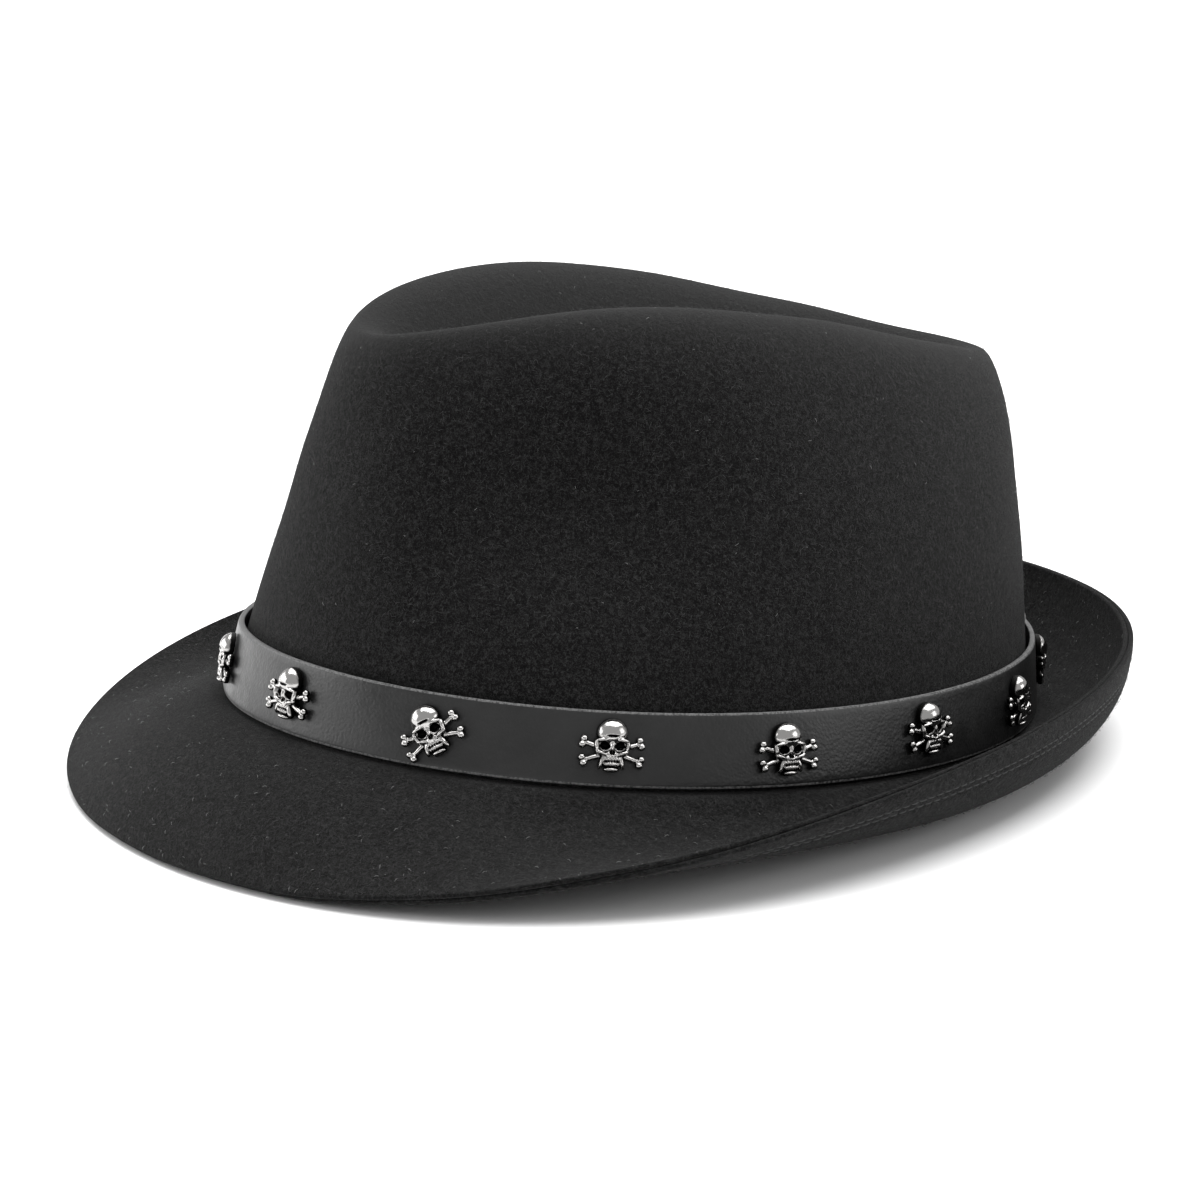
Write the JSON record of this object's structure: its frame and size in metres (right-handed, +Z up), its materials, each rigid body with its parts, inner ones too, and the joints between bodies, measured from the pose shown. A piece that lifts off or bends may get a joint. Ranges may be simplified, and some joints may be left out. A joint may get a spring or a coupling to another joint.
{
  "type": "trilby hat",
  "caption": "Black felt trilby with a pinched crown, a turned-up stitched brim, and a leather hatband set with turning skull-and-crossbones studs.",
  "frame": {"origin": "centre of the bounding box on the table the hat rests on", "axes": "+Z up, the front of the brim towards -Y, the wearer's left towards +X"},
  "size_m": [0.251, 0.2706, 0.1197],
  "materials": {
    "felt": "fuzzy charcoal-black wool felt",
    "stiffener": "stiff non-woven interlining",
    "satin_lining": "black satin",
    "sweatband_leather": "smooth black sweatband leather",
    "reed_cord": "cloth-covered reed",
    "label_cloth": "blank woven tape",
    "strap_leather": "black grained leather with a soft sheen",
    "stud_metal": "antiqued nickel, dark in the recesses",
    "rivet_metal": "dark nickel"
  },
  "bodies": {
    "hat": {"crown_felt": "felt", "lining_side_panel": "satin_lining", "lining_tip": "satin_lining", "sweatband": "sweatband_leather", "sweatband_reed": "reed_cord", "blank_label": "label_cloth", "brim_upper_felt": "felt", "brim_stiffener": "stiffener", "brim_lower_felt": "felt"},
    "hatband": {"hatband_strap": "strap_leather", "lap_rivet_1": "rivet_metal", "lap_rivet_2": "rivet_metal"},
    "stud_01": {"skull_stud_01": "stud_metal", "stud_washer_01": "rivet_metal"},
    "stud_02": {"skull_stud_02": "stud_metal", "stud_washer_02": "rivet_metal"},
    "stud_03": {"skull_stud_03": "stud_metal", "stud_washer_03": "rivet_metal"},
    "stud_04": {"skull_stud_04": "stud_metal", "stud_washer_04": "rivet_metal"},
    "stud_05": {"skull_stud_05": "stud_metal", "stud_washer_05": "rivet_metal"},
    "stud_06": {"skull_stud_06": "stud_metal", "stud_washer_06": "rivet_metal"},
    "stud_07": {"skull_stud_07": "stud_metal", "stud_washer_07": "rivet_metal"},
    "stud_08": {"skull_stud_08": "stud_metal", "stud_washer_08": "rivet_metal"},
    "stud_09": {"skull_stud_09": "stud_metal", "stud_washer_09": "rivet_metal"},
    "stud_10": {"skull_stud_10": "stud_metal", "stud_washer_10": "rivet_metal"},
    "stud_11": {"skull_stud_11": "stud_metal", "stud_washer_11": "rivet_metal"},
    "stud_12": {"skull_stud_12": "stud_metal", "stud_washer_12": "rivet_metal"},
    "stud_13": {"skull_stud_13": "stud_metal", "stud_washer_13": "rivet_metal"},
    "stud_14": {"skull_stud_14": "stud_metal", "stud_washer_14": "rivet_metal"}
  },
  "joints": [
    {"name": "hatband_lift", "type": "slide", "parent": "hat", "child": "hatband", "axis": [0, 0.0986, 0.9951], "range_m": [0, 0.11]},
    {"name": "stud_turn_01", "type": "hinge", "parent": "hatband", "child": "stud_01", "pos_m": [-0.01764, 0.10823, 0.01222], "axis": [-0.2502, 0.9669, -0.05], "continuous": true},
    {"name": "stud_turn_02", "type": "hinge", "parent": "hatband", "child": "stud_02", "pos_m": [-0.05316, 0.08787, 0.0143], "axis": [-0.6923, 0.7205, 0.0406], "continuous": true},
    {"name": "stud_turn_03", "type": "hinge", "parent": "hatband", "child": "stud_03", "pos_m": [-0.07656, 0.05355, 0.01603], "axis": [-0.9041, 0.3994, 0.152], "continuous": true},
    {"name": "stud_turn_04", "type": "hinge", "parent": "hatband", "child": "stud_04", "pos_m": [-0.08581, 0.01314, 0.02035], "axis": [-0.9673, 0.0771, 0.2418], "continuous": true},
    {"name": "stud_turn_05", "type": "hinge", "parent": "hatband", "child": "stud_05", "pos_m": [-0.08104, -0.02821, 0.02385], "axis": [-0.9182, -0.2513, 0.3061], "continuous": true},
    {"name": "stud_turn_06", "type": "hinge", "parent": "hatband", "child": "stud_06", "pos_m": [-0.06123, -0.06434, 0.02898], "axis": [-0.7446, -0.5848, 0.322], "continuous": true},
    {"name": "stud_turn_07", "type": "hinge", "parent": "hatband", "child": "stud_07", "pos_m": [-0.02867, -0.08874, 0.03152], "axis": [-0.3766, -0.8824, 0.2821], "continuous": true},
    {"name": "stud_turn_08", "type": "hinge", "parent": "hatband", "child": "stud_08", "pos_m": [0.01121, -0.09335, 0.03298], "axis": [0.1509, -0.9512, 0.269], "continuous": true},
    {"name": "stud_turn_09", "type": "hinge", "parent": "hatband", "child": "stud_09", "pos_m": [0.04828, -0.07727, 0.02992], "axis": [0.6089, -0.7318, 0.3062], "continuous": true},
    {"name": "stud_turn_10", "type": "hinge", "parent": "hatband", "child": "stud_10", "pos_m": [0.07387, -0.04518, 0.02659], "axis": [0.8583, -0.3989, 0.3228], "continuous": true},
    {"name": "stud_turn_11", "type": "hinge", "parent": "hatband", "child": "stud_11", "pos_m": [0.08562, -0.00552, 0.02142], "axis": [0.9596, -0.0671, 0.2732], "continuous": true},
    {"name": "stud_turn_12", "type": "hinge", "parent": "hatband", "child": "stud_12", "pos_m": [0.08232, 0.03606, 0.01826], "axis": [0.9468, 0.2555, 0.1955], "continuous": true},
    {"name": "stud_turn_13", "type": "hinge", "parent": "hatband", "child": "stud_13", "pos_m": [0.0653, 0.07377, 0.01449], "axis": [0.8098, 0.5796, 0.0912], "continuous": true},
    {"name": "stud_turn_14", "type": "hinge", "parent": "hatband", "child": "stud_14", "pos_m": [0.03467, 0.10152, 0.01343], "axis": [0.4775, 0.8784, -0.0174], "continuous": true}
  ]
}
